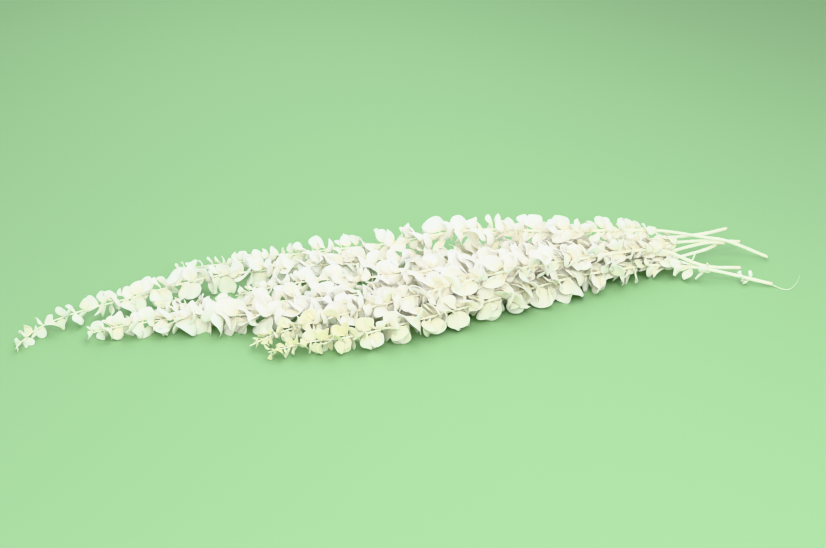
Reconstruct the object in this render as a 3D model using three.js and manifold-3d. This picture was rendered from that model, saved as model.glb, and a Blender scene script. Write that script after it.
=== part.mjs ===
// A bunch of bleached, preserved baby eucalyptus that lies on a table: seven cut stems, each with
// opposite pairs of small round leaves from its bare foot to its tip. Millimetres, +Z up. The bunch
// lies along X, with the cut ends at +X and the tips at -X, and its lowest leaves rest at Z = 0.
import * as THREE from "three";
import { mergeVertices } from "three/addons/utils/BufferGeometryUtils.js";
import Module from "manifold-3d";

const wasm = await Module();
wasm.setup();

// Leaves
const leafLength = 22.5; // the largest leaf, from the stem to its tip
const leafWidthShare = 1.04; // width over length
const footWidthShare = 0.72; // width of the first leaves over that of the rest
const leafCorners = [[0.4, 0.5], [0.9, 0.28]]; // outline beyond the neck: along, and aside, as shares
const plainCorners = [[0.8, 0.42]]; // the same for the smallest and the most crowded leaves
const plainLength = 10; // leaves shorter than this are plain
const plainRoom = 0.95; // and so are those with less room than this share of their length
const neckLength = 2.2; // the narrow foot by which a leaf holds the stem
const neckWidth = 1;
const leafCup = 0.16; // rise of a leaf's edges over its middle, as a share of its length
const leafBow = 0.1; // rise of its tip
const bladeThickness = 0.65;
const rootDepth = 0.6; // how deep a leaf's root sits in the bark
const tipLeafShare = 0.32; // the last leaf over the largest one
const tipTaper = 115; // distance from the tip over which leaves grow, unless a stem has its own
const footLeafShare = 0.72; // the first leaf over the largest one
const footTaper = 130; // distance from the first leaf over which leaves grow
const lengthVariety = 0.28; // spread of the leaves' lengths, as a share
const cupLeast = 0.5; // the flattest leaf's cup over the usual one

// Stems
const cutRadius = 1.9;
const tipRadius = 0.6;
const taperPower = 0.8;
const stemSides = 5;
const stemStep = 38; // length of a straight piece of stem
const flatShare = 0.8; // distance from the centre line to a flat of the bark, over the radius
const twigRadius = 0.55;
const twigSides = 4;
const flatSide = new THREE.Vector3(0, -0.6, 0.8); // which way a corner of the bark faces

// Pairs of leaves along a stem
const tipSpacing = 7;
const pairSpacing = 16;
const footSpacing = 18;
const spacingTaper = 75; // distance from the tip over which pairs draw apart
const spacingVariety = 0.3;
const lastPair = 2; // distance from the tip to the last pair
const quarterTurn = Math.PI / 2; // each pair stands across the one before
const pairVariety = 0.4; // spread of that turn
const leafVariety = 0.5; // spread of a leaf's place round the stem
const leanRest = 0.2; // a free leaf's lean towards the tip, in radians
const leanVariety = 0.7;
const footLean = 0.45; // how much more the first leaves lean
const leanMost = 1.15;
const twistMost = 0.98; // sine of the most that a blade turns about its own length
const twistShare = 0.6; // less for a blade that leans, so that its edge clears the stem
const leastRoom = 0.54; // a leaf with less room than this share of its length is left out
const roomAhead = 0.3; // a leaf's room is taken this share of its length ahead of its root
const roomUse = 0.92; // how much of its room a leaning leaf fills

// Room between stems
const clearance = 0.6; // between the leaves of neighbours
const bareClaim = 0.5; // what a bare stretch claims, in mm beyond its bark
const leastWall = 0.5; // no room ends nearer to the centre line
const fadeLength = 14; // past its end a stem's claim to room fades out over this length
const squeezePower = 5; // how sharply a leaf bends where its room ends
const farAway = 400;
const tablePress = 1.45; // how far past the table a leaf would reach, as a share of its height
const tableReach = 0.5; // what comes this near to the table lies on it
const topReach = 16; // how far above its stem a leaf stands in a bunch that was packed flat
const weldDistance = 1e-4;

// The middle of the bunch in the frame of the routes below
const middleX = -2.026;
const middleY = -13.123;

// Each route is the stem's centre line, from the cut end to the tip, with the table at Z = 0. At the
// foot the bare stems cross and lie on one another. leafy is where a stem's pairs of leaves start, and
// taper is how far from the tip its leaves stay small. twigs are bare side shoots and a strip of peeled
// bark, and scraps are small narrow leaves left on the foot, each with its place, its turn round the
// stem and its length.
const stems = [
  {
    name: "leafy_stem_1",
    seed: 11,
    leafy: 240,
    taper: 190,
    route: [
      [361, -7, 3], [317, -3, 22.8], [295, 2, 27.2], [240, -2, 41], [145, -4, 50], [60, 21, 50],
      [-22, 57, 30], [-78, 76, 22], [-135, 84, 16], [-212, 93, 10],
    ],
  },
  {
    name: "leafy_stem_2",
    seed: 23,
    leafy: 264,
    taper: 140,
    route: [
      [328, 21, 26], [295, 4.8, 29.7], [240, 12, 26], [145, 8, 28], [60, 24, 24], [-25, 39, 18],
      [-75, 52, 17], [-130, 50, 18], [-188, 45, 18], [-260, 22, 15], [-311, 5, 13], [-347, -15, 9],
      [-366, -42, 5],
    ],
  },
  {
    name: "leafy_stem_3",
    seed: 37,
    leafy: 266,
    route: [
      [317, 0, 19.7], [295, 2.5, 20.6], [240, 3, 12], [145, -6, 12], [60, -20, 16], [-28, -28, 17],
      [-114, -24, 16], [-184, -14, 14], [-240, 5, 8],
    ],
  },
  {
    name: "leafy_stem_4",
    seed: 41,
    leafy: 262,
    taper: 60,
    route: [
      [312, 7, 16.2], [295, 0.5, 14.2], [240, -17, 14], [145, -29, 13], [60, -50, 16], [-28, -60, 17],
      [-119, -54, 16], [-206, -36, 15], [-271, -32, 12], [-302, -32, 8],
    ],
  },
  {
    name: "leafy_stem_5",
    seed: 53,
    leafy: 248,
    route: [
      [315, -40, 9], [275, -40, 15.6], [240, -19, 27], [145, -40, 35], [60, -66, 40], [-28, -78, 30],
      [-95, -84, 22], [-146, -86, 13], [-170, -92, 7],
    ],
    twigs: [
      [[266, -35, 18.5], [266, -37, 21.5], [268, -38, 29]],
      [[280, -41, 14.6], [279, -45, 18], [276, -47, 20.5]],
    ],
  },
  {
    name: "leafy_stem_6",
    seed: 67,
    leafy: 268,
    route: [
      [333, -72, 3], [275, -41.5, 13], [237, -21.5, 12.8], [184, -33.5, 17], [145, -43, 19], [59, -73, 18.5],
      [-36, -101, 16], [-91, -112, 14], [-120, -108, 12], [-157, -109, 7],
    ],
    twigs: [
      [[331, -70.5, 3.2], [335, -76, 1.8], [340.5, -83, 0.9], [347, -83, 1.4], [355, -78, 4], [362, -72, 9]],
    ],
    scraps: [
      [315, 0.6, 7], [314, 3.6, 7], [311, 2.2, 6.5], [310, 5.2, 7], [307, 1.1, 6], [284, 1.9, 13],
      [280, 5, 12], [277, 3.7, 13],
    ],
  },
  {
    name: "leafy_stem_7",
    seed: 79,
    leafy: 266,
    route: [
      [344, 22, 10.3], [295, 4, 22.7], [240, -4, 27], [145, -17, 33], [60, -32, 38], [0, -34, 36],
      [-45, -22, 30], [-90, 1, 23], [-130, 14, 15], [-165, 17, 9],
    ],
  },
];

const bleached = new THREE.MeshStandardMaterial({ color: 0xf2eee2, roughness: 0.75, metalness: 0 });

// Random numbers from 0 to 1, the same at every run.
function seeded(seed) {
  let state = seed * 7919;
  return () => {
    state = (state * 16807) % 2147483647;
    return state / 2147483647;
  };
}

function smooth(t) {
  const s = Math.min(1, Math.max(0, t));
  return s * s * (3 - 2 * s);
}

const cutX = (stem) => stem.route[0][0];
const tipX = (stem) => stem.route[stem.route.length - 1][0];

// Where a stem's centre line is at x, with its slopes: a smooth curve through the route's points.
function centreAt(stem, x) {
  const route = stem.route;
  const last = route.length - 1;
  const slopeAt = (i, axis) => {
    const a = route[Math.max(i - 1, 0)];
    const b = route[Math.min(i + 1, last)];
    return (b[axis] - a[axis]) / (b[0] - a[0]);
  };
  const inside = Math.min(route[0][0], Math.max(route[last][0], x));
  let i = 0;
  while (i < last - 1 && inside < route[i + 1][0]) i += 1;
  const width = route[i + 1][0] - route[i][0];
  const t = (inside - route[i][0]) / width;
  const value = [1, 2].map((axis) => {
    const a = route[i][axis];
    const b = route[i + 1][axis];
    const ma = slopeAt(i, axis) * width;
    const mb = slopeAt(i + 1, axis) * width;
    const height = a + t * (ma + t * (3 * (b - a) - 2 * ma - mb + t * (2 * (a - b) + ma + mb)));
    const slope = (ma + t * (2 * (3 * (b - a) - 2 * ma - mb) + 3 * t * (2 * (a - b) + ma + mb))) / width;
    return [height + (x - inside) * slope, slope];
  });
  return { y: value[0][0], z: value[1][0], slopeY: value[0][1], slopeZ: value[1][1] };
}

function radiusAt(stem, x) {
  const along = Math.min(1, Math.max(0, (cutX(stem) - x) / (cutX(stem) - tipX(stem))));
  return cutRadius + (tipRadius - cutRadius) * along ** taperPower;
}

// How near x is to the first leaves, from 0 to 1.
const footAt = (stem, x) => 1 - smooth((stem.leafy - x) / footTaper);

// The length of the leaves at x: small at the tip, largest in the middle, smaller again at the foot.
function leafLengthAt(stem, x) {
  const grown = 1 - Math.exp(-Math.max(0, x - tipX(stem)) / (stem.taper ?? tipTaper));
  const young = tipLeafShare + (1 - tipLeafShare) * grown;
  return leafLength * young * (1 - (1 - footLeafShare) * footAt(stem, x));
}

// How much room a stem claims at x, beyond its own bark.
function claimAt(stem, x) {
  const past = Math.max(tipX(stem) - x, 0);
  const bare = smooth((x - stem.leafy) / fadeLength);
  const share = (1 - bare) * (1 - smooth(past / fadeLength));
  return bareClaim + leafLengthAt(stem, x) * share;
}

// The distance from a stem's centre line to where its room ends, at x, along a direction across X.
// The table isn't counted here.
function roomAt(stem, x, directionY, directionZ) {
  const here = centreAt(stem, x);
  const own = radiusAt(stem, x) + clearance / 2;
  let room = directionZ > 0 ? Math.min(farAway, topReach / directionZ) : farAway;
  for (const other of stems) {
    if (other === stem || x > cutX(other) + fadeLength || x < tipX(other) - fadeLength) continue;
    const there = centreAt(other, x);
    const apartY = there.y - here.y;
    const apartZ = there.z - here.z;
    const apart = Math.hypot(apartY, apartZ);
    const towards = (directionY * apartY + directionZ * apartZ) / apart;
    if (towards <= 0) continue;
    const theirs = radiusAt(other, x) + clearance / 2;
    const ownClaim = claimAt(stem, x);
    const share = ownClaim / (ownClaim + claimAt(other, x));
    const wall = own + Math.max(apart - own - theirs, 0) * share - (clearance + bladeThickness) / 2;
    const past = Math.max(x - cutX(other), tipX(other) - x, 0);
    room = Math.min(room, Math.max(wall, leastWall) / towards + farAway * smooth(past / fadeLength));
  }
  return room;
}

// Moves a point of a leaf into its stem's room, as a leaf bends where it meets a neighbour or the table.
function settle(stem, point) {
  const here = centreAt(stem, point.x);
  const offY = point.y - here.y;
  const offZ = point.z - here.z;
  const reach = Math.hypot(offY, offZ);
  if (reach < weldDistance) return;
  const room = roomAt(stem, point.x, offY / reach, offZ / reach);
  const share = (1 + (reach / room) ** squeezePower) ** (-1 / squeezePower);
  point.y = here.y + offY * share;
  point.z = Math.max(here.z + offZ * share, bladeThickness / 2);
}

// Closes an open surface into a thin solid: a copy on each side of it, and a wall along its edge.
function thicken(surface, thickness) {
  surface.computeVertexNormals();
  const { position, normal } = surface.attributes;
  const count = position.count;
  const points = [];
  for (const side of [0.5, -0.5]) {
    for (let i = 0; i < count; i += 1) {
      const point = new THREE.Vector3().fromBufferAttribute(position, i);
      point.addScaledVector(new THREE.Vector3().fromBufferAttribute(normal, i), side * thickness);
      if (point.z < tableReach) point.z = 0;
      points.push(...point.toArray());
    }
  }
  const faces = [...surface.index.array];
  const index = [...faces];
  const edges = new Set();
  for (let f = 0; f < faces.length; f += 3) {
    index.push(faces[f] + count, faces[f + 2] + count, faces[f + 1] + count);
    for (let k = 0; k < 3; k += 1) edges.add(`${faces[f + k]},${faces[f + ((k + 1) % 3)]}`);
  }
  for (const edge of edges) {
    const [a, b] = edge.split(",").map(Number);
    if (!edges.has(`${b},${a}`)) index.push(b, a, a + count, b, a + count, b + count);
  }
  const solid = new THREE.BufferGeometry();
  solid.setAttribute("position", new THREE.Float32BufferAttribute(points, 3));
  solid.setIndex(index);
  return solid;
}

// One leaf blade: its flat outline, cupped, bowed, placed on its stem and settled in the stem's room.
function leafBlade(stem, leaf) {
  const neck = [neckLength / leaf.length, neckWidth / 2 / leaf.length / leaf.width];
  const plain = leaf.length < plainLength || leaf.roomShare < plainRoom;
  const left = [neck, ...(plain ? plainCorners : leafCorners)];
  const right = left.map(([along, aside]) => [along, -aside]);
  const outline = [...right.reverse(), [0, 0], ...left].map((corner) => new THREE.Vector2(...corner));
  const surface = new THREE.ShapeGeometry(new THREE.Shape(outline));
  const position = surface.attributes.position;
  for (let i = 0; i < position.count; i += 1) {
    const along = position.getX(i);
    const aside = position.getY(i);
    const rise = leaf.cup * (leafCup * (2 * aside) ** 2 + leafBow * along ** 2);
    const point = leaf.root.clone()
      .addScaledVector(leaf.axis, leaf.length * along)
      .addScaledVector(leaf.aside, leaf.length * leaf.width * aside)
      .addScaledVector(leaf.normal, leaf.length * rise);
    settle(stem, point);
    position.setXYZ(i, point.x, point.y, point.z);
  }
  return thicken(surface, bladeThickness);
}

// The centres of the rod's rings, from the tip to the cut end.
function ringsOf(stem) {
  const length = cutX(stem) - tipX(stem);
  const steps = Math.round(length / stemStep);
  return Array.from({ length: steps + 1 }, (_, k) => {
    const x = tipX(stem) + (length * k) / steps;
    const here = centreAt(stem, x);
    return new THREE.Vector3(x, here.y, here.z);
  });
}

// The middle of the rod at x: the rod is straight between its rings.
function rodCentreAt(stem, x) {
  const rings = ringsOf(stem);
  const k = rings.findIndex((ring) => ring.x > x);
  return rings[k - 1].clone().lerp(rings[k], (x - rings[k - 1].x) / (rings[k].x - rings[k - 1].x));
}

// The frame of one leaf: its root just inside the bark, and the directions along, across and off it.
function leafFrame(stem, x, around, length, random) {
  const here = centreAt(stem, x);
  const forward = new THREE.Vector3(-1, -here.slopeY, -here.slopeZ).normalize();
  const upward = new THREE.Vector3(0, 0, 1).addScaledVector(forward, -forward.z).normalize();
  const sideways = new THREE.Vector3().crossVectors(forward, upward);
  const out = upward.clone().multiplyScalar(Math.cos(around)).addScaledVector(sideways, Math.sin(around));
  const across = Math.hypot(out.y, out.z);
  const table = out.z < 0 ? (tablePress * here.z * across) / -out.z : farAway;
  const room = Math.min(table, roomAt(stem, x - length * roomAhead, out.y / across, out.z / across));
  const fits = Math.acos(Math.min(1, (roomUse * room) / length));
  const foot = footAt(stem, x);
  const rest = leanRest + footLean * foot + leanVariety * (random() - 0.5);
  const lean = Math.min(leanMost, Math.max(rest, fits));
  const twist = Math.asin(Math.min(twistMost, twistShare / Math.tan(lean))) * (2 * random() - 1);
  const axis = out.clone().multiplyScalar(Math.cos(lean)).addScaledVector(forward, Math.sin(lean));
  const facing = forward.clone().multiplyScalar(Math.cos(lean)).addScaledVector(out, -Math.sin(lean));
  const aside = new THREE.Vector3().crossVectors(facing, axis);
  const normal = facing.clone().multiplyScalar(Math.cos(twist)).addScaledVector(aside, Math.sin(twist));
  return {
    root: rodCentreAt(stem, x)
      .addScaledVector(out, flatShare * radiusAt(stem, x))
      .addScaledVector(axis, -rootDepth),
    length,
    width: leafWidthShare * (1 - (1 - footWidthShare) * foot),
    axis,
    normal,
    aside: new THREE.Vector3().crossVectors(normal, axis),
    cup: cupLeast + random(),
    roomShare: room / length,
  };
}

// Every leaf of a stem, in opposite pairs, each pair turned across the one before.
function leavesOf(stem) {
  const random = seeded(stem.seed);
  const leaves = [];
  let around = random() * Math.PI;
  let x = stem.leafy;
  while (x > tipX(stem) + lastPair) {
    for (const half of [0, Math.PI]) {
      const jitter = leafVariety * (random() - 0.5);
      const length = leafLengthAt(stem, x) * (1 + lengthVariety * (random() - 0.5));
      leaves.push(leafFrame(stem, x, around + half + jitter, length, random));
    }
    const here = centreAt(stem, x);
    const grown = 1 - Math.exp((tipX(stem) - x) / spacingTaper);
    const spacing = tipSpacing + (pairSpacing - tipSpacing) * grown
      + (footSpacing - pairSpacing) * footAt(stem, x);
    x -= (spacing * (1 + spacingVariety * (random() - 0.5))) / Math.hypot(1, here.slopeY, here.slopeZ);
    around += quarterTurn + pairVariety * (random() - 0.5);
  }
  const scraps = (stem.scraps ?? []).map((scrap) => leafFrame(stem, ...scrap, random));
  return [...leaves.filter((leaf) => leaf.roomShare > leastRoom), ...scraps];
}

// A rod with a ring at each centre.
function rodAlong(centres, radii, sides) {
  const steps = centres.length - 1;
  const rod = new THREE.CylinderGeometry(1, 1, 1, sides, steps);
  const position = rod.attributes.position;
  for (let i = 0; i < position.count; i += 1) {
    const k = Math.round((position.getY(i) + 0.5) * steps);
    const forward = centres[Math.min(k + 1, steps)].clone().sub(centres[Math.max(k - 1, 0)]).normalize();
    const upward = flatSide.clone().projectOnPlane(forward).normalize();
    const sideways = new THREE.Vector3().crossVectors(forward, upward);
    const point = centres[k].clone()
      .addScaledVector(sideways, radii[k] * position.getX(i))
      .addScaledVector(upward, radii[k] * position.getZ(i));
    position.setXYZ(i, point.x, point.y, point.z);
  }
  return rod;
}

function barkOf(stem) {
  const rings = ringsOf(stem);
  return rodAlong(rings, rings.map((ring) => radiusAt(stem, ring.x)), stemSides);
}

function twigsOf(stem) {
  return (stem.twigs ?? []).map((points) => {
    const centres = points.map((point) => new THREE.Vector3(...point));
    return rodAlong(centres, centres.map(() => twigRadius), twigSides);
  });
}

function solidOf(geometry) {
  geometry.deleteAttribute("normal");
  geometry.deleteAttribute("uv");
  const merged = mergeVertices(geometry, weldDistance);
  return new wasm.Manifold(new wasm.Mesh({
    numProp: 3,
    vertProperties: merged.attributes.position.array,
    triVerts: new Uint32Array(merged.index.array),
  }));
}

// The largest body of a solid: a scrap that a leaf's crossing cuts loose is dropped.
function mainBody(solid) {
  return solid.decompose().reduce((a, b) => (b.volume() > a.volume() ? b : a));
}

function meshOf(name, solid, material) {
  const made = solid.getMesh();
  const geometry = new THREE.BufferGeometry();
  const points = new Float32Array(made.numVert * 3);
  for (let i = 0; i < made.numVert; i += 1) {
    for (let k = 0; k < 3; k += 1) points[3 * i + k] = made.vertProperties[made.numProp * i + k];
  }
  geometry.setAttribute("position", new THREE.BufferAttribute(points, 3));
  geometry.setIndex(new THREE.BufferAttribute(made.triVerts, 1));
  geometry.computeVertexNormals();
  const mesh = new THREE.Mesh(geometry, material);
  mesh.name = name;
  return mesh;
}

const bunch = new THREE.Group();
bunch.position.set(-middleX, -middleY, 0);
for (const stem of stems) {
  const blades = leavesOf(stem).map((leaf) => leafBlade(stem, leaf));
  const solids = [barkOf(stem), ...twigsOf(stem), ...blades].map(solidOf);
  bunch.add(meshOf(stem.name, mainBody(wasm.Manifold.union(solids)), bleached));
}

export default bunch;
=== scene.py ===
import math

import bpy
import numpy as np
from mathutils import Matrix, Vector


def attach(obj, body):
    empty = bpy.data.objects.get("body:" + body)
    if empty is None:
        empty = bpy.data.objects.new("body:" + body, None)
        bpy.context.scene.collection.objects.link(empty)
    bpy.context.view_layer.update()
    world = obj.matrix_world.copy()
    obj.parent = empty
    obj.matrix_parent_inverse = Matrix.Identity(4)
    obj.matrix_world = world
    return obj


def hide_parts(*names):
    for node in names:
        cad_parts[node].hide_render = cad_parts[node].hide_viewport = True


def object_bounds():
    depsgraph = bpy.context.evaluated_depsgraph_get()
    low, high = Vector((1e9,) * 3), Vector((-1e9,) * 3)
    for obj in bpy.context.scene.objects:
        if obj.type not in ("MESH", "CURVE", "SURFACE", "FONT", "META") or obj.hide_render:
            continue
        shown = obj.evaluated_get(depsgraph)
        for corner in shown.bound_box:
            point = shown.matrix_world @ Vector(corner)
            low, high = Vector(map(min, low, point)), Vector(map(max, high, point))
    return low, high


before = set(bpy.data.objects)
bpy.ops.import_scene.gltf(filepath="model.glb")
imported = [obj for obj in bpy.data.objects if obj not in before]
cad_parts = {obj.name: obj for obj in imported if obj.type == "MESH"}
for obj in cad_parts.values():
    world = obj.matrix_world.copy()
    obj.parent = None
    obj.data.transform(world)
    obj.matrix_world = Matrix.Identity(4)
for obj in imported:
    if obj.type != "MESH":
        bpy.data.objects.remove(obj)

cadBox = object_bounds()

# Lengths here are in millimetres until a mesh is made, and turns are in radians.
toMetres = 0.001
tiny = 1e-6              # stands in for a zero in a division
tinyArea = 1e-9          # and for a blade's corner with no area

# The frame's zero in the routes' own millimetres: the middle of the bunch, on the table
middle = np.array([-2.026, -13.123, 0.0])

# One stem a row: its random seed, where its leaves start, the length from its tip over which they grow
# (taper), how cream its tip is, how much wider the extra pairs stand apart there (tipGap), and its line
# from the cut end to the tip. A scrap is a dried leaf on a bare foot: its place, its turn and its length.
stems = [
    {
        "name": "leafy_stem_1", "seed": 11, "leafy": 240, "taper": 190, "creamTip": 0.3,
        "route": [(361, -7, 3), (317, -3, 22.8), (295, 2, 27.2), (240, -2, 41), (145, -4, 50),
                  (60, 21, 50), (-22, 57, 30), (-78, 76, 22), (-135, 84, 16), (-212, 93, 10)],
    },
    {
        "name": "leafy_stem_2", "seed": 23, "leafy": 264, "taper": 140, "creamTip": 0.4,
        "route": [(328, 21, 26), (295, 4.8, 29.7), (240, 12, 26), (145, 8, 28), (60, 24, 24),
                  (-25, 39, 18), (-75, 52, 17), (-130, 50, 18), (-188, 45, 18), (-260, 22, 15),
                  (-311, 5, 13), (-347, -15, 9), (-366, -42, 5)],
    },
    {
        "name": "leafy_stem_3", "seed": 37, "leafy": 266, "creamTip": 0.5, "tipGap": -3,
        "route": [(317, 0, 19.7), (295, 2.5, 20.6), (240, 3, 12), (145, -6, 12), (60, -20, 16),
                  (-28, -28, 17), (-114, -24, 16), (-184, -14, 14), (-240, 5, 8)],
    },
    {
        "name": "leafy_stem_4", "seed": 41, "leafy": 262, "taper": 60, "tipGap": 0, "creamTip": 0.4,
        "route": [(312, 7, 16.2), (295, 0.5, 14.2), (240, -17, 14), (145, -29, 13), (60, -50, 16),
                  (-28, -60, 17), (-119, -54, 16), (-206, -36, 15), (-271, -32, 12), (-302, -32, 8)],
    },
    {
        "name": "leafy_stem_5", "seed": 53, "leafy": 248, "creamTip": 0.9, "tipGap": -3,
        "route": [(315, -40, 9), (275, -40, 15.6), (240, -19, 27), (145, -40, 35), (60, -66, 40),
                  (-28, -78, 30), (-95, -84, 22), (-146, -86, 13), (-170, -92, 7)],
        "twigs": [
            [(266, -35, 18.5), (266, -37, 21.5), (268, -38, 29)],
            [(280, -41, 14.6), (279, -45, 18), (276, -47, 20.5)],
        ],
    },
    {
        "name": "leafy_stem_6", "seed": 67, "leafy": 268, "creamTip": 1.1, "tipGap": -3,
        "route": [(333, -72, 3), (275, -41.5, 13), (237, -21.5, 12.8), (184, -33.5, 17), (145, -43, 19),
                  (59, -73, 18.5), (-36, -101, 16), (-91, -112, 14), (-120, -108, 12), (-157, -109, 7)],
        "peel": [(331, -70.5, 3.2), (335, -76, 1.8), (340.5, -83, 0.9), (347, -83, 1.4),
                 (355, -78, 4), (362, -72, 9)],
        "scraps": [(315, 0.6, 7), (314, 3.6, 7), (311, 2.2, 6.5), (310, 5.2, 7), (307, 1.1, 6),
                   (284, 1.9, 13), (280, 5, 12), (277, 3.7, 13)],
    },
    {
        "name": "leafy_stem_7", "seed": 79, "leafy": 266, "tipGap": 0, "creamTip": 0.3,
        "route": [(344, 22, 10.3), (295, 4, 22.7), (240, -4, 27), (145, -17, 33), (60, -32, 38),
                  (0, -34, 36), (-45, -22, 30), (-90, 1, 23), (-130, 14, 15), (-165, 17, 9)],
    },
]

# A stem's own radius along its line, the same as the solids'
rod = {
    "cutRadius": 1.9,
    "tipRadius": 0.6,
    "taperPower": 0.8,
    "flatShare": 0.8,        # leaves are rooted this share of it out, inside the bark
}

# The rule by which leaves stand along a stem, also the same. A spread is the whole range of what
# chance changes, half of it each way.
growth = {
    "largest": 22.5,         # from the stem to the leaf's tip
    "tipShare": 0.32,        # the last leaf over the largest
    "tipTaper": 115.0,       # over this length from the tip leaves grow
    "footShare": 0.72,       # the first leaf over the largest
    "footTaper": 130.0,      # over this length from the first leaf they grow too
    "lengthSpread": 0.28,
    "tipSpacing": 7.0,       # from pair to pair at the tip, in the middle and at the foot
    "pairSpacing": 16.0,
    "footSpacing": 18.0,
    "spacingTaper": 75.0,
    "spacingSpread": 0.3,
    "lastPair": 2.0,         # the least from the last pair to the tip
    "pairTurnSpread": 0.4,
    "leafTurnSpread": 0.5,
    "leanRest": 0.2,         # how far leaves lean forward along the stem
    "leanSpread": 0.7,
    "footLean": 0.45,        # how much more the first leaves lean
    "leanMost": 1.15,
    "twistMost": 0.98,       # sine of the most that a leaf turns about its own length
    "twistShare": 0.6,       # and less for a leaf that leans far
    "roomAhead": 0.3,        # of the leaf's length ahead is where its room is measured
    "roomUse": 0.92,         # leaves lean until their length takes up this much of it
    "cupLeast": 0.5,
}

# The pairs that the solids leave out
between = {
    "seedStep": 1000,
    "gap": 7.0,              # the least length of stem for one more pair
    "tipGap": 7.0,           # how much more at the tip
    "tipReach": 120.0,
    "most": 2,               # between two of the solids' pairs
    "turn": math.pi / 4,     # from one of them to the next
    "size": 0.88,            # over a leaf of the solids' there
    "sizeSpread": 0.25,
    "mingle": 0.25,          # how much further they reach into a neighbour's share
}

# What keeps the leaves of neighbours apart, the same as the solids' too
space = {
    "clearance": 0.6,
    "bladeRoom": 0.65,       # the thickness that the solids give a blade
    "bareClaim": 0.5,        # what a stem claims of the room around it where it has no leaves
    "leastWall": 0.5,        # the room that is left where stems touch
    "fade": 14.0,            # over this length a stem's claim ends past its tip or its first leaves
    "power": 5.0,            # how sharply a blade bends where its room ends
    "farAway": 400.0,
    "tablePress": 1.45,      # how far leaves may aim past the table, which lays them flat on it
    "topReach": 16.0,        # how far leaves stand up in a bunch that was packed flat
    "shareMost": 0.85,       # of the way to a neighbour's bark, where leaves mingle
}

draws = {"start": 7919, "factor": 16807, "wrap": 2147483647}      # of the solids' random numbers


def seeded(seed):
    # numbers from 0 to 1, in the order in which the solids drew them
    state = seed * draws["start"]
    while True:
        state = (state * draws["factor"]) % draws["wrap"]
        yield state / draws["wrap"]


def smooth(t):
    s = np.clip(t, 0.0, 1.0)
    return s * s * (3.0 - 2.0 * s)


def unit(v):
    return v / np.linalg.norm(v)


def prepare(stem):
    route = np.array(stem["route"], float)
    before = route[np.maximum(np.arange(len(route)) - 1, 0)]
    after = route[np.minimum(np.arange(len(route)) + 1, len(route) - 1)]
    stem["points"] = route
    stem["slopes"] = (after - before) / (after - before)[:, :1]
    stem["cut"] = route[0, 0]
    stem["tip"] = route[-1, 0]


def centreAt(stem, x):
    # the middle of the stem at x as y and z, and its slopes there
    points, slopes = stem["points"], stem["slopes"]
    x = np.asarray(x, float)
    inside = np.clip(x, stem["tip"], stem["cut"])
    i = np.clip(np.searchsorted(-points[:, 0], -inside) - 1, 0, len(points) - 2)
    width = points[i + 1, 0] - points[i, 0]
    t = ((inside - points[i, 0]) / width)[..., None]
    a, b = points[i, 1:], points[i + 1, 1:]
    startSlope, endSlope = slopes[i, 1:] * width[..., None], slopes[i + 1, 1:] * width[..., None]
    bend = 3 * (b - a) - 2 * startSlope - endSlope
    turn = 2 * (a - b) + startSlope + endSlope
    slope = (startSlope + t * (2 * bend + 3 * t * turn)) / width[..., None]
    height = a + t * (startSlope + t * (bend + t * turn))
    return height + (x - inside)[..., None] * slope, slope


def radiusAt(stem, x):
    along = np.clip((stem["cut"] - x) / (stem["cut"] - stem["tip"]), 0.0, 1.0)
    return rod["cutRadius"] + (rod["tipRadius"] - rod["cutRadius"]) * along ** rod["taperPower"]


def footAt(stem, x):
    # how near x is to the first leaves, from 0 to 1
    return 1 - smooth((stem["leafy"] - x) / growth["footTaper"])


def leafLengthAt(stem, x):
    grown = 1 - np.exp(-np.maximum(0.0, x - stem["tip"]) / stem.get("taper", growth["tipTaper"]))
    young = growth["tipShare"] + (1 - growth["tipShare"]) * grown
    return growth["largest"] * young * (1 - (1 - growth["footShare"]) * footAt(stem, x))


def spacingAt(stem, x):
    grown = 1 - math.exp((stem["tip"] - x) / growth["spacingTaper"])
    spacing = growth["tipSpacing"] + (growth["pairSpacing"] - growth["tipSpacing"]) * grown
    return spacing + (growth["footSpacing"] - growth["pairSpacing"]) * float(footAt(stem, x))


def claimAt(stem, x):
    # what a stem asks of the room between it and a neighbour
    past = np.maximum(stem["tip"] - x, 0.0)
    bare = smooth((x - stem["leafy"]) / space["fade"])
    return space["bareClaim"] + leafLengthAt(stem, x) * (1 - bare) * (1 - smooth(past / space["fade"]))


def roomAt(stem, x, direction, mingle=0.0):
    # how far a leaf may reach from the stem's middle at x before it meets a neighbour's share
    here, _ = centreAt(stem, x)
    own = radiusAt(stem, x) + space["clearance"] / 2
    upward = direction[..., 1]
    room = np.where(upward > 0, space["topReach"] / np.maximum(upward, tiny), space["farAway"])
    room = np.minimum(room, space["farAway"])
    for other in stems:
        if other is stem:
            continue
        there, _ = centreAt(other, x)
        apart = there - here
        distance = np.maximum(np.hypot(apart[..., 0], apart[..., 1]), tiny)
        towards = (direction * apart).sum(-1) / distance
        theirs = radiusAt(other, x) + space["clearance"] / 2
        ownClaim = claimAt(stem, x)
        share = ownClaim / (ownClaim + claimAt(other, x))
        share = np.where(mingle > 0, np.minimum(share + mingle, space["shareMost"]), share)
        wall = own + np.maximum(distance - own - theirs, 0) * share
        wall = np.maximum(wall - (space["clearance"] + space["bladeRoom"]) / 2, space["leastWall"])
        past = np.maximum(np.maximum(x - other["cut"], other["tip"] - x), 0.0)
        limit = wall / np.maximum(towards, tiny) + space["farAway"] * smooth(past / space["fade"])
        free = (towards <= 0) | (past >= space["fade"])
        room = np.where(free, room, np.minimum(room, limit))
    return room


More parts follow.
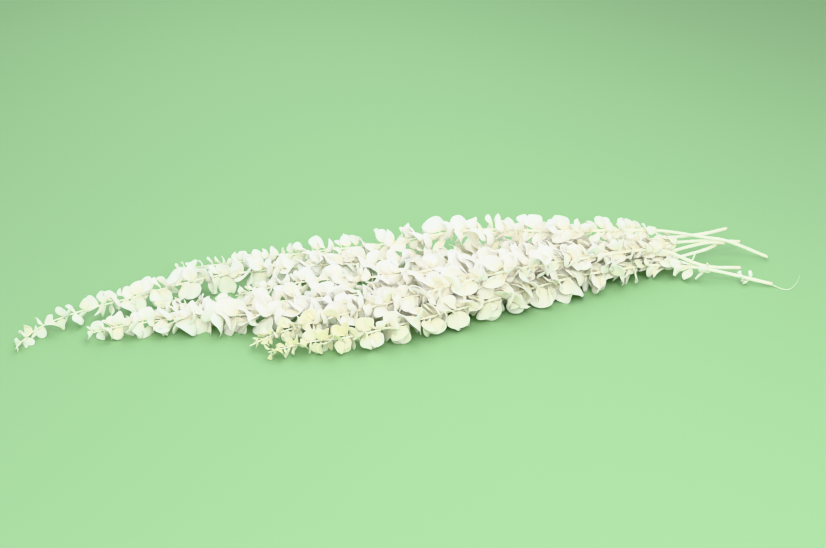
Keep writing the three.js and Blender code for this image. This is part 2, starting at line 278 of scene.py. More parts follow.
def settle(stem, points, lift, mingle=0.0):
    # bends points into the stem's room, and lays what is below the table on it
    here, _ = centreAt(stem, points[..., 0])
    off = points[..., 1:] - here
    reach = np.maximum(np.hypot(off[..., 0], off[..., 1]), tiny)
    room = roomAt(stem, points[..., 0], off / reach[..., None], mingle)
    share = (1 + (reach / room) ** space["power"]) ** (-1 / space["power"])
    settled = points.copy()
    settled[..., 1:] = here + off * share[..., None]
    settled[..., 2] = np.maximum(settled[..., 2], lift)
    return settled


def leafFrame(stem, x, around, length, draw, mingle=0.0):
    # where one leaf is rooted and which way it grows and faces
    (y, z), (slopeY, slopeZ) = centreAt(stem, x)
    forward = unit(np.array([-1.0, -slopeY, -slopeZ]))
    upward = unit(np.array([0.0, 0.0, 1.0]) - forward[2] * forward)
    sideways = np.cross(forward, upward)
    out = upward * math.cos(around) + sideways * math.sin(around)
    across = math.hypot(out[1], out[2])
    table = space["tablePress"] * z * across / -out[2] if out[2] < 0 else space["farAway"]
    ahead = x - length * growth["roomAhead"]
    room = min(table, float(roomAt(stem, np.array(ahead), out[1:] / across, mingle)))
    fits = math.acos(min(1.0, growth["roomUse"] * room / length))
    rest = growth["leanRest"] + growth["footLean"] * float(footAt(stem, x))
    rest += growth["leanSpread"] * (next(draw) - 0.5)
    lean = min(growth["leanMost"], max(rest, fits))
    twistLimit = growth["twistShare"] * math.cos(lean) / max(math.sin(lean), tiny)
    twist = math.asin(min(growth["twistMost"], twistLimit)) * (2 * next(draw) - 1)
    axis = out * math.cos(lean) + forward * math.sin(lean)
    facing = forward * math.cos(lean) - out * math.sin(lean)
    aside = np.cross(facing, axis)
    normal = facing * math.cos(twist) + aside * math.sin(twist)
    root = np.array([x, y, z]) + out * rod["flatShare"] * float(radiusAt(stem, x))
    return {
        "root": root, "axis": axis, "normal": normal, "aside": np.cross(normal, axis),
        "length": length, "cup": growth["cupLeast"] + next(draw), "x": x, "mingle": mingle,
    }


def ownLeaves(stem):
    # the solids' own pairs and scraps, and the places of the pairs
    draw = seeded(stem["seed"])
    leaves, nodes = [], []
    around = next(draw) * math.pi
    x = stem["leafy"]
    while x > stem["tip"] + growth["lastPair"]:
        for half in (0.0, math.pi):
            jitter = growth["leafTurnSpread"] * (next(draw) - 0.5)
            length = float(leafLengthAt(stem, x)) * (1 + growth["lengthSpread"] * (next(draw) - 0.5))
            leaves.append(leafFrame(stem, x, around + half + jitter, length, draw))
        nodes.append((x, around))
        _, (slopeY, slopeZ) = centreAt(stem, x)
        spacing = spacingAt(stem, x) * (1 + growth["spacingSpread"] * (next(draw) - 0.5))
        x -= spacing / math.sqrt(1 + slopeY ** 2 + slopeZ ** 2)
        around += math.pi / 2 + growth["pairTurnSpread"] * (next(draw) - 0.5)
    for scrap in stem.get("scraps", []):
        leaf = leafFrame(stem, *scrap, draw)
        leaf["scrap"] = True
        leaves.append(leaf)
    return leaves, nodes


def leavesBetween(stem, nodes):
    # more pairs in each gap between two of the solids', as many as there is stem for
    draw = seeded(stem["seed"] + between["seedStep"])
    leaves = []
    for (x, around), (nextX, nextAround) in zip(nodes, nodes[1:]):
        nearTip = math.exp((stem["tip"] - x) / between["tipReach"])
        gap = between["gap"] + stem.get("tipGap", between["tipGap"]) * nearTip
        pairs = min(between["most"], int((x - nextX) / gap))
        for k in range(pairs):
            share = (k + 1) / (pairs + 1)
            place = x + (nextX - x) * share
            turn = around + (nextAround - around) * share + k * between["turn"]
            for half in (0.0, math.pi):
                jitter = growth["leafTurnSpread"] * (next(draw) - 0.5)
                size = between["size"] + between["sizeSpread"] * (next(draw) - 0.5)
                length = size * float(leafLengthAt(stem, place))
                leaves.append(leafFrame(stem, place, turn + half + jitter, length, draw, between["mingle"]))
    return leaves


# A blade: a round, shallow cup with a waved rim. Its forms are shares of the leaf's own length. Its
# thickness, the reaches along the stem and the lengths below which it changes are in millimetres.
blade = {
    "faces": 10,             # over a large blade each way
    "facesSmall": 8,
    "small": 11.0,           # shorter leaves have fewer faces
    "width": 1.04,
    "widthSpread": 0.34,
    "footWidth": 0.6,        # leaves near the foot are narrower
    "footReach": 210.0,
    "base": 0.07,            # where the blade starts and ends
    "end": 0.97,
    "ovate": -0.12,          # how much wider it is towards its base, or its end below zero
    "ovateSpread": 0.36,
    "point": 0.035,          # how far the tip stands out, or in where chance notches it
    "pointSpread": 0.1,
    "pointWidth": 0.22,      # on a blade from -1 to 1 each way, as is the next
    "pointStart": 0.5,
    "cup": 0.19,
    "bow": 0.1,              # how far the tip curves up from the stalk's line
    "wave": 0.034,           # height of the waves in the rim
    "waveLeast": 0.4,
    "waveSpread": 1.2,
    "waves": (2, 5),         # two to four of them go round a rim
    "wavePower": 3,          # how much they keep to the rim
    "curl": 0.32,            # how far one side of the rim turns over
    "crumple": 0.16,         # how deep the creases of a dried scrap are
    "crumpled": 10.0,        # scraps shorter than this are creased
    "creases": (5, 4, 7, 3),     # how close the creases lie, in four directions
    "creaseRise": 1.5,       # how soon the creases begin after the stalk
    "creamSpread": 0.55,     # how much cream leaves keep by chance
    "creamReach": 120.0,     # over this length from the tip a stem's own creamTip fades
    "creamFoot": 0.15,
    "thickness": 0.42,
    "rimShare": 0.55,        # thickness at the rim over the middle
    "rimPower": 4,
}


def discGrid(n):
    # a square grid of points pressed into a round one, so that the rim is smooth
    line = np.linspace(-1, 1, n + 1)
    v, u = np.meshgrid(line, line, indexing="ij")
    return u * np.sqrt(1 - v * v / 2), v * np.sqrt(1 - u * u / 2)


def gridFaces(n):
    # both faces of a blade and the wall round its rim, by vertex numbers
    size = (n + 1) ** 2
    number = np.arange(size).reshape(n + 1, n + 1)
    a, b = number[:-1, :-1].ravel(), number[:-1, 1:].ravel()
    c, d = number[1:, 1:].ravel(), number[1:, :-1].ravel()
    top = np.stack([a, b, c, d], 1)
    bottom = np.stack([a, d, c, b], 1) + size
    rim = np.concatenate([number[0, :-1], number[:-1, -1], number[-1, :0:-1], number[:0:-1, 0]])
    following = np.roll(rim, -1)
    wall = np.stack([following, rim, rim + size, following + size], 1)
    return np.concatenate([top, bottom, wall])


def creamAt(stem, x):
    # leaves near the foot and on some tips keep more of their cream colour
    tip = stem.get("creamTip", 0.0) * math.exp(-max(0.0, x - stem["tip"]) / blade["creamReach"])
    return tip + blade["creamFoot"] * float(footAt(stem, x))


def bladeShape(leaf, stem, chance):
    # what makes one leaf differ from the next
    foot = 1 - float(smooth((stem["leafy"] - leaf["x"]) / blade["footReach"]))
    width = blade["width"] * (1 + (blade["footWidth"] - 1) * foot)
    creased = leaf.get("scrap") and leaf["length"] < blade["crumpled"]
    return {
        "width": width * (1 + blade["widthSpread"] * (chance.random() - 0.5)),
        "ovate": blade["ovate"] + blade["ovateSpread"] * (chance.random() - 0.5),
        "point": blade["point"] + blade["pointSpread"] * (chance.random() - 0.5),
        "phase": chance.random() * 2 * math.pi,
        "waves": chance.integers(*blade["waves"]),
        "wave": blade["wave"] * (blade["waveLeast"] + blade["waveSpread"] * chance.random()),
        "curl": blade["curl"] * (2 * chance.random() - 1),
        "curlSide": chance.random() * 2 * math.pi,
        "crumple": blade["crumple"] if creased else 0.0,
        "tone": chance.random() * blade["creamSpread"] + creamAt(stem, leaf["x"]),
    }


def onBlade(leaf, shape, u, v):
    # a point of the flat unit disc, in place on the leaf's cupped middle surface
    across = u * (1 - shape["ovate"] * v)
    nearPoint = smooth((v - blade["pointStart"]) / (1 - blade["pointStart"]))
    tip = shape["point"] * np.exp(-(u / blade["pointWidth"]) ** 2) * nearPoint
    along = blade["base"] + (blade["end"] - blade["base"]) * (1 + v) / 2 + tip
    aside = 0.5 * shape["width"] * across
    rise = leaf["cup"] * (blade["cup"] * (2 * aside / blade["width"]) ** 2 + blade["bow"] * along ** 2)
    waves = np.sin(shape["waves"] * np.arctan2(v, u) + shape["phase"])
    rise = rise + shape["wave"] * np.hypot(u, v) ** blade["wavePower"] * waves
    turned = np.clip(u * math.cos(shape["curlSide"]) + v * math.sin(shape["curlSide"]), 0, 1)
    rise = rise + shape["curl"] * turned ** 3
    a, b, c, d = blade["creases"]
    creases = np.sin(a * u + shape["phase"]) * np.cos(b * v - shape["phase"]) + np.sin(c * along + d * u)
    rise = rise + shape["crumple"] * creases * np.minimum(1.0, blade["creaseRise"] * along)
    size = leaf["length"]
    return (leaf["root"] + leaf["axis"] * (size * along)[..., None]
            + leaf["aside"] * (size * aside)[..., None] + leaf["normal"] * (size * rise)[..., None])


def surfaceNormals(grid):
    normals = np.cross(np.gradient(grid, axis=1), np.gradient(grid, axis=0))
    return normals / np.maximum(np.linalg.norm(normals, axis=-1, keepdims=True), tinyArea)


# The bunch's skin, from which the leaves' depth is counted, the mask of their painted shade
depth = {
    "crown": 12.0,           # how far above its stem's middle the skin lies
    "slope": 0.6,            # how much it falls for each millimetre to the side
    "reach": 26.0,           # what lies deeper than this is as deep as it gets
}


def depthAt(points):
    # how deep in the bunch a point lies, from 0 at its top to 1 underneath
    x, y, z = points.T
    skin = np.full(len(x), -space["farAway"])
    for stem in stems:
        here, _ = centreAt(stem, x)
        crown = here[:, 1] + depth["crown"] - depth["slope"] * np.abs(y - here[:, 0])
        within = (x > stem["tip"]) & (x < stem["cut"])
        skin = np.maximum(skin, np.where(within, crown, -space["farAway"]))
    return np.clip((skin - z) / depth["reach"], 0.0, 1.0)


def bladeMesh(stem, leaf, shape):
    n = blade["facesSmall"] if leaf["length"] < blade["small"] else blade["faces"]
    u, v = discGrid(n)
    surface = settle(stem, onBlade(leaf, shape, u, v), blade["thickness"] / 2, leaf["mingle"])
    normals = surfaceNormals(surface)
    thinning = (1 - blade["rimShare"]) * np.hypot(u, v) ** blade["rimPower"]
    half = blade["thickness"] / 2 * (1 - thinning)
    sides = [surface + normals * half[..., None], surface - normals * half[..., None]]
    points = np.concatenate([side.reshape(-1, 3) for side in sides])
    points[:, 2] = np.maximum(points[:, 2], 0.0)
    return points, gridFaces(n), {
        "leafAlong": np.tile(((1 + v) / 2).ravel(), 2),
        "leafAside": np.tile(u.ravel(), 2),
        "leafTone": np.full(len(points), shape["tone"]),
        "leafDepth": depthAt(points),
    }


# The bark of a stem, its bare twigs and the strip that has peeled off
bark = {
    "sides": 14,
    "step": 2.5,
    "shrink": 0.86,          # round bark inside the corners of its five-sided solid
    "nodeSwell": 0.16,       # the ring that a pair of leaves leaves behind
    "nodeWidth": 1.3,        # and how far along the stem it fades
    "scarSpacing": 17.0,     # rings of fallen pairs on the bare foot
    "scarEnd": 6.0,          # none is nearer to the cut than this
    "wander": 0.05,          # how far the bark strays from round
    "wanderWaves": (1, 2, 3),
    "wanderPhase": 6.0,
    "wanderPace": 0.05,      # how fast that turns along the stem
    "paceSpread": 0.1,
    "awayFromCut": 200.0,    # too far from the cut to be tinted by it
    "twigRadius": 0.85,
    "twigFoot": 1.15,        # over that radius at its foot, and how much is lost by its tip
    "twigTaper": 0.45,
    "twigSides": 8,
    "twigSteps": 9,
    "peelWidth": 0.95,
    "peelThickness": 0.3,
    "peelFoot": 1.1,         # over that at its foot, and how much narrower and thinner it ends
    "peelTaper": 0.7,
    "peelThinning": 0.5,
    "peelTurn": 0.6,
    "peelSides": 8,
    "peelSteps": 36,
    "nearUpright": 1e-3,     # what runs closer to upright has its rings turned another way
}


def tube(centres, radii, sides, turn=0.0):
    # a round bar along its centres, with the rings at its two ends
    ahead = np.gradient(centres, axis=0)
    ahead = ahead / np.linalg.norm(ahead, axis=1, keepdims=True)
    up = np.array([0.0, 0.0, 1.0]) - ahead * ahead[:, 2:3]
    upright = np.linalg.norm(up, axis=1, keepdims=True) < bark["nearUpright"]
    up = np.where(upright, np.array([0.0, 1.0, 0.0]), up)
    up = up / np.linalg.norm(up, axis=1, keepdims=True)
    sideways = np.cross(ahead, up)
    angle = turn + np.arange(sides) * 2 * math.pi / sides
    radii = np.asarray(radii, float)
    if radii.ndim == 1:
        radii = np.repeat(radii[:, None], sides, 1)
    ring = up[:, None] * np.cos(angle)[None, :, None] + sideways[:, None] * np.sin(angle)[None, :, None]
    points = (centres[:, None] + ring * radii[..., None]).reshape(-1, 3)
    faces = []
    for k in range(len(centres) - 1):
        for s in range(sides):
            a, b = k * sides + s, k * sides + (s + 1) % sides
            faces.append((a, b, b + sides, a + sides))
    start, end = list(range(sides)), [(len(centres) - 1) * sides + s for s in range(sides)]
    return points, faces, tuple(start[::-1]), tuple(end)


def closedTube(centres, radii, sides, turn=0.0):
    # a bar of bark with both its ends shut, and none of it under the table
    points, faces, start, end = tube(centres, radii, sides, turn)
    points[:, 2] = np.maximum(points[:, 2], 0.0)
    return points, faces + [start, end], {"fromCut": np.full(len(points), bark["awayFromCut"])}


def barkMesh(stem, nodes):
    # the stem with its tip shut, and the face of its cut
    steps = int((stem["cut"] - stem["tip"]) / bark["step"])
    x = np.linspace(stem["tip"], stem["cut"], steps + 1)
    line, _ = centreAt(stem, x)
    centres = np.column_stack([x, line])
    radius = radiusAt(stem, x) * bark["shrink"]
    scars = [place for place, _ in nodes]
    scar = stem["leafy"] + bark["scarSpacing"]
    while scar < stem["cut"] - bark["scarEnd"]:
        scars.append(scar)
        scar += bark["scarSpacing"]
    for place in scars:
        radius = radius * (1 + bark["nodeSwell"] * np.exp(-((x - place) / bark["nodeWidth"]) ** 2))
    chance = np.random.default_rng(stem["seed"])
    angle = np.arange(bark["sides"]) * 2 * math.pi / bark["sides"]
    wander = np.zeros((len(x), bark["sides"]))
    for waves in bark["wanderWaves"]:
        phase = chance.random() * bark["wanderPhase"]
        pace = bark["wanderPace"] + bark["paceSpread"] * chance.random()
        wander += np.sin(waves * angle[None, :] + phase + pace * x[:, None]) / waves
    radii = radius[:, None] * (1 + bark["wander"] * wander)
    points, faces, tipFace, cutFace = tube(centres, radii, bark["sides"])
    return (points, faces + [tipFace], {"fromCut": np.repeat(stem["cut"] - x, bark["sides"])}), cutFace


def twigMesh(points):
    # a short bare side shoot, thinner towards its broken tip
    line = np.array(points, float)
    t = np.linspace(0, 1, bark["twigSteps"])
    stations = np.linspace(0, 1, len(line))
    centres = np.column_stack([np.interp(t, stations, line[:, k]) for k in range(3)])
    centres[1:-1] = (centres[:-2] + 2 * centres[1:-1] + centres[2:]) / 4
    radii = bark["twigRadius"] * (bark["twigFoot"] - bark["twigTaper"] * t)
    return closedTube(centres, radii, bark["twigSides"])


def peelMesh(points):
    # a thin strip of bark that has come away and curls up, a flat oval along a smooth line
    line = np.array(points, float)
    t = np.linspace(0, len(line) - 1, bark["peelSteps"])
    i = np.clip(t.astype(int), 0, len(line) - 2)
    f = (t - i)[:, None]
    tangent = np.gradient(line, axis=0)
    a, b, ta, tb = line[i], line[i + 1], tangent[i], tangent[i + 1]
    centres = (2 * f ** 3 - 3 * f ** 2 + 1) * a + (f ** 3 - 2 * f ** 2 + f) * ta \
        + (3 * f ** 2 - 2 * f ** 3) * b + (f ** 3 - f ** 2) * tb
    share = t / (len(line) - 1)
    flat = 0.5 * bark["peelWidth"] * (bark["peelFoot"] - bark["peelTaper"] * share)
    thin = 0.5 * bark["peelThickness"] * (bark["peelFoot"] - bark["peelThinning"] * share)
    angle = np.arange(bark["peelSides"]) * 2 * math.pi / bark["peelSides"] + bark["peelTurn"]
    overFlat, overThin = np.cos(angle)[None] / flat[:, None], np.sin(angle)[None] / thin[:, None]
    radii = 1 / np.sqrt(overFlat ** 2 + overThin ** 2)
    return closedTube(centres, radii, bark["peelSides"], bark["peelTurn"])


# A leaf's stalk, which runs on as the midrib under its blade
rib = {
    "stalkRadius": 0.5,
    "radius": 0.34,
    "endRadius": 0.1,
    "leastRadius": 0.06,
    "taper": 1.1,            # it is thinnest shortly before its end
    "taperPower": 0.7,
    "inside": 0.8,           # how far inside the bark it starts
    "length": 0.86,          # over the blade's
    "smallest": 0.55,        # how thick on the smallest leaf, and how much more on the largest
    "more": 0.45,
    "sides": 5,
    "steps": 9,
}


def ribMesh(stem, leaf, shape):
    v = np.linspace(-1, 2 * rib["length"] - 1, rib["steps"])
    line = onBlade(leaf, shape, np.zeros_like(v), v) - leaf["normal"] * blade["thickness"] / 2
    line = np.concatenate([[leaf["root"] - leaf["axis"] * rib["inside"]], line])
    line[1:] = settle(stem, line[1:], rib["radius"], leaf["mingle"])
    thinned = np.minimum(1, np.linspace(0, 1, len(line)) * rib["taper"]) ** rib["taperPower"]
    scale = rib["smallest"] + rib["more"] * leaf["length"] / growth["largest"]
    radii = scale * (rib["stalkRadius"] + (rib["endRadius"] - rib["stalkRadius"]) * thinned)
    return closedTube(line, np.maximum(radii, rib["leastRadius"]), rib["sides"])


boxMargin = 4.0          # the outermost part of the solids' box, within which shapes are pressed in


def withinBox(points):
    # eases what would stand out of the solids' box back into it
    low, high = np.array(cadBox[0]) / toMetres + middle, np.array(cadBox[1]) / toMetres + middle
    over = np.maximum(points - (high - boxMargin), 0.0)
    under = np.maximum(low + boxMargin - points, 0.0)
    under[:, 2] = 0.0
    eased = points - over + boxMargin * (1 - np.exp(-over / boxMargin))
    return eased + under - boxMargin * (1 - np.exp(-under / boxMargin))


def toFrame(points):
    return (points - middle) * toMetres


def joined(parts):
    # several (points, faces, values) as one
    points, faces, values, start = [], [], {}, 0
    for partPoints, partFaces, partValues in parts:
        points.append(partPoints)
        faces.extend([tuple(int(i) + start for i in face) for face in partFaces])
        for key, numbers in partValues.items():
            values.setdefault(key, []).append(numbers)
        start += len(partPoints)
    return np.concatenate(points), faces, {key: np.concatenate(rows) for key, rows in values.items()}


def makeMesh(name, points, faces, values, materials, slots=None):
    mesh = bpy.data.meshes.new(name)
    mesh.from_pydata(toFrame(points).tolist(), [], faces)
    for key, numbers in values.items():
        layer = mesh.attributes.new(key, "FLOAT", "POINT")
        layer.data.foreach_set("value", np.asarray(numbers, np.float32))
    for material in materials:
        mesh.materials.append(material)
    mesh.polygons.foreach_set("use_smooth", np.ones(len(mesh.polygons), bool))
    if slots is not None:
        mesh.polygons.foreach_set("material_index", np.asarray(slots, np.int32))
    mesh.update()
    piece = bpy.data.objects.new(name, mesh)
    bpy.context.scene.collection.objects.link(piece)
    return piece


def linear(code):
    # an sRGB hex colour as Blender's linear one
    shares = [int(code[i:i + 2], 16) / 255 for i in (1, 3, 5)]
    return tuple(c / 12.92 if c <= 0.04045 else ((c + 0.055) / 1.055) ** 2.4 for c in shares) + (1.0,)


def addNode(tree, kind, settings=None, links=None):
    # a setting or link goes to the input of that name or number, and any other setting to the node
    node = tree.nodes.new(kind)
    for key, value in (settings or {}).items():
        if isinstance(key, int) or key in node.inputs:
            node.inputs[key].default_value = value
        else:
            setattr(node, key, value)
    for key, source in (links or {}).items():
        tree.links.new(source, node.inputs[key])
    return node


def newMaterial(name):
    material = bpy.data.materials.new(name)
    material.use_nodes = True
    tree = material.node_tree
    tree.nodes.clear()
    return material, tree


# A Mix node's two colours and their mixture, whose names its other sockets share
colourA, colourB, mixed = 6, 7, 2

leafFinish = {
    "white": "#fbfaf5",
    "cream": "#f6f0da",
    "root": "#f0e3c0",       # where the blade leaves its stalk
    "young": "#d0d1a2",      # what the small leaves of some tips kept of their green
    "deep": "#f3eacb",       # painted warm shade inside the bunch and underneath
    "toneCream": 0.45,       # how much cream a leaf's own tone brings, and the blotches
    "blotchCream": 0.25,
    "blotches": 90.0,        # to a metre, so about 11 mm each
    "blotchFrom": 0.35,
    "blotchFull": 0.75,
    "youngFrom": 0.55,       # tones between which the green comes in
    "youngFull": 1.4,
    "rootShare": 0.85,
    "rootReach": 0.38,       # over the blade's length
    "paintedShadeShare": 0.5,
    "veinSpacing": 1.9,      # between side veins
    "veinSlant": 0.45,
    "veinFrom": 0.55,        # only the crest of each wave stands up
    "veinDepth": 0.12,
    "veinStrength": 0.35,
    "grain": 900.0,          # to a metre, so 1.1 mm
    "grainShare": 0.5,       # over the veins
    "roughness": 0.62,
    "scatter": 1.5,          # how far light goes in, more than a blade's thickness
    "sheen": 0.15,
}


def bleachedLeaf():
    # a leaf with its green taken out and glycerine in: near white, dull, and it lets light through
    material, tree = newMaterial("bleachedLeaf")
    along, aside, tone, buried = [
        addNode(tree, "ShaderNodeAttribute", {"attribute_name": name}).outputs["Fac"]
        for name in ("leafAlong", "leafAside", "leafTone", "leafDepth")]
    place = addNode(tree, "ShaderNodeTexCoord")

    # white turns to cream by the leaf's own tone and in soft blotches
    patch = addNode(tree, "ShaderNodeTexNoise", {"Scale": leafFinish["blotches"], "Detail": 3.0},
                    {"Vector": place.outputs["Object"]})
    blotch = addNode(tree, "ShaderNodeMapRange",
                     {"From Min": leafFinish["blotchFrom"], "From Max": leafFinish["blotchFull"]},
                     {"Value": patch.outputs["Fac"]})
    toned = addNode(tree, "ShaderNodeMath", {"operation": "MULTIPLY", 1: leafFinish["toneCream"]}, {0: tone})
    creamy = addNode(tree, "ShaderNodeMath", {"operation": "MULTIPLY_ADD", 1: leafFinish["blotchCream"]},
                     {0: blotch.outputs["Result"], 2: toned.outputs[0]})
    colour = addNode(tree, "ShaderNodeMix", {
        "data_type": "RGBA", colourA: linear(leafFinish["white"]), colourB: linear(leafFinish["cream"]),
    }, {0: creamy.outputs[0]})

    # over that come the green of young leaves, the tan at the stalk, and a cream tint painted as warm
    # shade on leaves inside the bunch and underneath
    young = addNode(tree, "ShaderNodeMapRange",
                    {"From Min": leafFinish["youngFrom"], "From Max": leafFinish["youngFull"]},
                    {"Value": tone})
    root = addNode(tree, "ShaderNodeMapRange", {
        "From Min": 0.0, "From Max": leafFinish["rootReach"],
        "To Min": leafFinish["rootShare"], "To Max": 0.0,
    }, {"Value": along})
    # painted shade: the deeper a point lies in the bunch, the more of the cream tint it gets
    deep = addNode(tree, "ShaderNodeMath", {"operation": "MULTIPLY", 1: leafFinish["paintedShadeShare"]},
                   {0: buried})
    for tint, share in (("young", young), ("root", root), ("deep", deep)):
        colour = addNode(tree, "ShaderNodeMix", {"data_type": "RGBA", colourB: linear(leafFinish[tint])},
                         {0: share.outputs[0], colourA: colour.outputs[mixed]})

    # side veins leave the midrib at a slant, with a fine grain between them
    side = addNode(tree, "ShaderNodeMath", {"operation": "ABSOLUTE"}, {0: aside})
    slant = addNode(tree, "ShaderNodeMath", {"operation": "MULTIPLY_ADD", 1: -leafFinish["veinSlant"]},
                    {0: side.outputs[0], 2: along})
    turns = growth["largest"] / leafFinish["veinSpacing"] * 2 * math.pi
    angle = addNode(tree, "ShaderNodeMath", {"operation": "MULTIPLY", 1: turns}, {0: slant.outputs[0]})
    wave = addNode(tree, "ShaderNodeMath", {"operation": "SINE"}, {0: angle.outputs[0]})
    vein = addNode(tree, "ShaderNodeMapRange", {"From Min": leafFinish["veinFrom"], "From Max": 1.0},
                   {"Value": wave.outputs[0]})
    grain = addNode(tree, "ShaderNodeTexNoise", {"Scale": leafFinish["grain"], "Detail": 2.0},
                    {"Vector": place.outputs["Object"]})
    height = addNode(tree, "ShaderNodeMath", {"operation": "MULTIPLY_ADD", 1: leafFinish["grainShare"]},
                     {0: grain.outputs["Fac"], 2: vein.outputs["Result"]})
    bump = addNode(tree, "ShaderNodeBump", {
        "Strength": leafFinish["veinStrength"], "Distance": leafFinish["veinDepth"] * toMetres,
    }, {"Height": height.outputs[0]})

    surface = addNode(tree, "ShaderNodeBsdfPrincipled", {
        "Roughness": leafFinish["roughness"], "IOR": 1.45, "Specular IOR Level": 0.35,
        "Subsurface Weight": 1.0, "Subsurface Radius": (0.9, 0.9, 0.85),
        "Subsurface Scale": leafFinish["scatter"] * toMetres,
        "Sheen Weight": leafFinish["sheen"], "Sheen Roughness": 0.5,
    }, {"Base Color": colour.outputs[mixed], "Normal": bump.outputs["Normal"]})
    addNode(tree, "ShaderNodeOutputMaterial", links={"Surface": surface.outputs["BSDF"]})
    return material


barkFinish = {
    "straw": "#f5f4ea",
    "shade": "#e8e7d2",
    "cut": "#e8dac6",
    "pith": "#d3b394",
    "streaks": (60.0, 900.0, 900.0),     # to a metre along and across the bunch, so 17 mm by 1.1 mm
    "streakFrom": 0.3,
    "streakFull": 0.75,
    "streakDepth": 0.15,
    "streakStrength": 0.4,
    "pinkReach": 16.0,       # from the cut
    "pinkShare": 0.7,
    "roughness": 0.6,
    "cutGrain": 1500.0,      # to a metre, so 0.7 mm
    "cutRoughness": 0.8,
}


def bleachedBark():
    # peeled looking straw-coloured bark with fine streaks along it, pinker towards the cut
    material, tree = newMaterial("bleachedBark")
    near = addNode(tree, "ShaderNodeAttribute", {"attribute_name": "fromCut"})
    place = addNode(tree, "ShaderNodeTexCoord")
    stretch = addNode(tree, "ShaderNodeMapping", {"Scale": barkFinish["streaks"]},
                      {"Vector": place.outputs["Object"]})
    streaks = addNode(tree, "ShaderNodeTexNoise", {"Scale": 1.0, "Detail": 3.0},
                      {"Vector": stretch.outputs["Vector"]})
    share = addNode(tree, "ShaderNodeMapRange",
                    {"From Min": barkFinish["streakFrom"], "From Max": barkFinish["streakFull"]},
                    {"Value": streaks.outputs["Fac"]})
    straw = addNode(tree, "ShaderNodeMix", {
        "data_type": "RGBA", colourA: linear(barkFinish["straw"]), colourB: linear(barkFinish["shade"]),
    }, {0: share.outputs["Result"]})
    pink = addNode(tree, "ShaderNodeMapRange", {
        "From Min": 0.0, "From Max": barkFinish["pinkReach"],
        "To Min": barkFinish["pinkShare"], "To Max": 0.0,
    }, {"Value": near.outputs["Fac"]})
    colour = addNode(tree, "ShaderNodeMix", {"data_type": "RGBA", colourB: linear(barkFinish["cut"])},
                     {0: pink.outputs["Result"], colourA: straw.outputs[mixed]})
    bump = addNode(tree, "ShaderNodeBump", {
        "Strength": barkFinish["streakStrength"], "Distance": barkFinish["streakDepth"] * toMetres,
    }, {"Height": streaks.outputs["Fac"]})
    surface = addNode(tree, "ShaderNodeBsdfPrincipled", {
        "Roughness": barkFinish["roughness"], "IOR": 1.5, "Specular IOR Level": 0.35,
    }, {"Base Color": colour.outputs[mixed], "Normal": bump.outputs["Normal"]})
    addNode(tree, "ShaderNodeOutputMaterial", links={"Surface": surface.outputs["BSDF"]})
    return material


def cutWood():
    # the clean cut across a stem: pinkish tan wood, mottled and dull
    material, tree = newMaterial("cutWood")
    place = addNode(tree, "ShaderNodeTexCoord")
    grain = addNode(tree, "ShaderNodeTexNoise", {"Scale": barkFinish["cutGrain"], "Detail": 2.0},
                    {"Vector": place.outputs["Object"]})
    colour = addNode(tree, "ShaderNodeMix", {
        "data_type": "RGBA", colourA: linear(barkFinish["cut"]), colourB: linear(barkFinish["pith"]),
    }, {0: grain.outputs["Fac"]})
    surface = addNode(tree, "ShaderNodeBsdfPrincipled", {
        "Roughness": barkFinish["cutRoughness"], "IOR": 1.5,
    }, {"Base Color": colour.outputs[mixed]})
    addNode(tree, "ShaderNodeOutputMaterial", links={"Surface": surface.outputs["BSDF"]})
    return material


leafMaterial, barkMaterial, cutMaterial = bleachedLeaf(), bleachedBark(), cutWood()
print("materials made:", leafMaterial.name, barkMaterial.name, cutMaterial.name)


def growStem(stem):
    # two pieces: the leaves, and the bark with all that is as hard
    leaves, nodes = ownLeaves(stem)
    leaves += leavesBetween(stem, nodes)
    chance = np.random.default_rng(stem["seed"])
    blades, ribs = [], []
    for leaf in leaves:
        shape = bladeShape(leaf, stem, chance)
        blades.append(bladeMesh(stem, leaf, shape))
        ribs.append(ribMesh(stem, leaf, shape))
    points, faces, values = joined(blades)
    foliage = makeMesh(stem["name"] + "_leaves", withinBox(points), faces, values, [leafMaterial])

    rodPart, cutFace = barkMesh(stem, nodes)
    twigs = [twigMesh(twig) for twig in stem.get("twigs", [])]
    twigs += [peelMesh(stem["peel"])] if "peel" in stem else []
    points, faces, values = joined([rodPart] + twigs + ribs)     # the cut face needs the rod first
    slots = [0] * len(faces) + [1]
    wood = makeMesh(stem["name"] + "_bark", withinBox(points), faces + [cutFace], values,
                    [barkMaterial, cutMaterial], slots)

    for piece in (foliage, wood):
        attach(piece, "root")
        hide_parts(stem["name"])
    triangles = sum(len(face.vertices) - 2 for face in foliage.data.polygons)
    print("grown:", stem["name"], "with", len(leaves), "leaves of", triangles, "triangles")


for stem in stems:
    prepare(stem)
for stem in stems:
    growStem(stem)

stage = {
    "paper": "#8bb183",
    "paperRoughness": 0.9,
    "size": 20.0,                     # metres, as are the lights' places and sizes
    "softbox": (0.1, 0.5, 0.85),      # a long box over the bunch, so that the paper darkens to both sides
    "softboxSize": (0.5, 2.4),
    "softboxPower": 8.3,
    "fill": (-0.4, -2.2, 1.5),
    "fillSize": (1.6, 1.6),
    "fillPower": 76.0,
    "lampColour": (0.97, 0.99, 1.0),
    "sky": 0.74,
}


def matPaper():
    # a roll of plain coloured backdrop paper, quite dull
    material, tree = newMaterial("matPaper")
    surface = addNode(tree, "ShaderNodeBsdfPrincipled", {
        "Base Color": linear(stage["paper"]), "Roughness": stage["paperRoughness"],
        "Specular IOR Level": 0.2,
    })
    addNode(tree, "ShaderNodeOutputMaterial", links={"Surface": surface.outputs["BSDF"]})
    return material


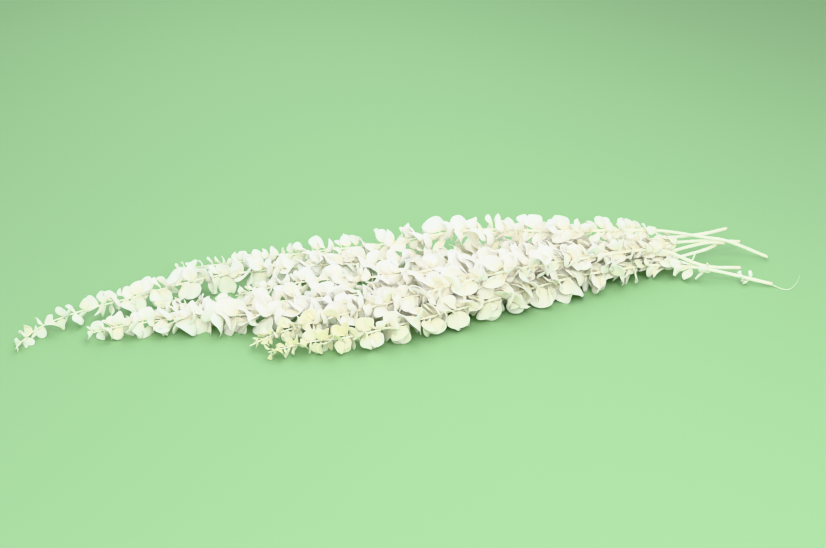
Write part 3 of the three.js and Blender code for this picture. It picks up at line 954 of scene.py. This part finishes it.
def layPaper():
    half = stage["size"] / 2 / toMetres
    corners = np.array([(-half, -half, 0), (half, -half, 0), (half, half, 0), (-half, half, 0)], float)
    paper = makeMesh("paper", corners + middle, [(0, 1, 2, 3)], {}, [matPaper()])


def softLight(name, place, size, power, target):
    light = bpy.data.lights.new(name, "AREA")
    light.shape = "RECTANGLE"
    light.size, light.size_y = size
    light.color = stage["lampColour"]
    light.energy = power
    lamp = bpy.data.objects.new(name, light)
    lamp.location = place
    aim = np.array(target) - np.array(place)
    tilt = math.atan2(math.hypot(aim[0], aim[1]), -aim[2])
    lamp.rotation_euler = (tilt, 0, math.atan2(aim[0], -aim[1]) + math.pi)
    bpy.context.scene.collection.objects.link(lamp)


def lightUp():
    below = stage["softbox"][:2] + (0,)
    softLight("softbox", stage["softbox"], stage["softboxSize"], stage["softboxPower"], below)
    softLight("fill", stage["fill"], stage["fillSize"], stage["fillPower"], (0, 0, 0))
    world = bpy.data.worlds.new("studio")
    world.use_nodes = True
    background = world.node_tree.nodes["Background"]
    background.inputs["Color"].default_value = stage["lampColour"] + (1.0,)
    background.inputs["Strength"].default_value = stage["sky"]
    bpy.context.scene.world = world
    bpy.context.scene.view_settings.view_transform = "Khronos PBR Neutral"


# The camera's lens, and how far off and at what angles in degrees it stands from its target
lens = {
    "length": 70.0,
    "sensor": 36.0,
    "distance": 1500.0,
    "elevation": 22.0,
    "azimuth": -15.0,
    "target": (0, 0, 20),
}


def placeCamera():
    camera = bpy.data.objects.new("camera", bpy.data.cameras.new("camera"))
    camera.data.lens = lens["length"]
    camera.data.sensor_width = lens["sensor"]
    a, e = math.radians(lens["azimuth"]), math.radians(lens["elevation"])
    back = np.array([math.sin(a) * math.cos(e), -math.cos(a) * math.cos(e), math.sin(e)])
    camera.location = toFrame(np.array(lens["target"], float) + back * lens["distance"])
    camera.rotation_euler = (math.pi / 2 - e, 0, a)
    bpy.context.scene.collection.objects.link(camera)
    bpy.context.scene.camera = camera


layPaper()
lightUp()
placeCamera()
print("paper, lights and camera in place")
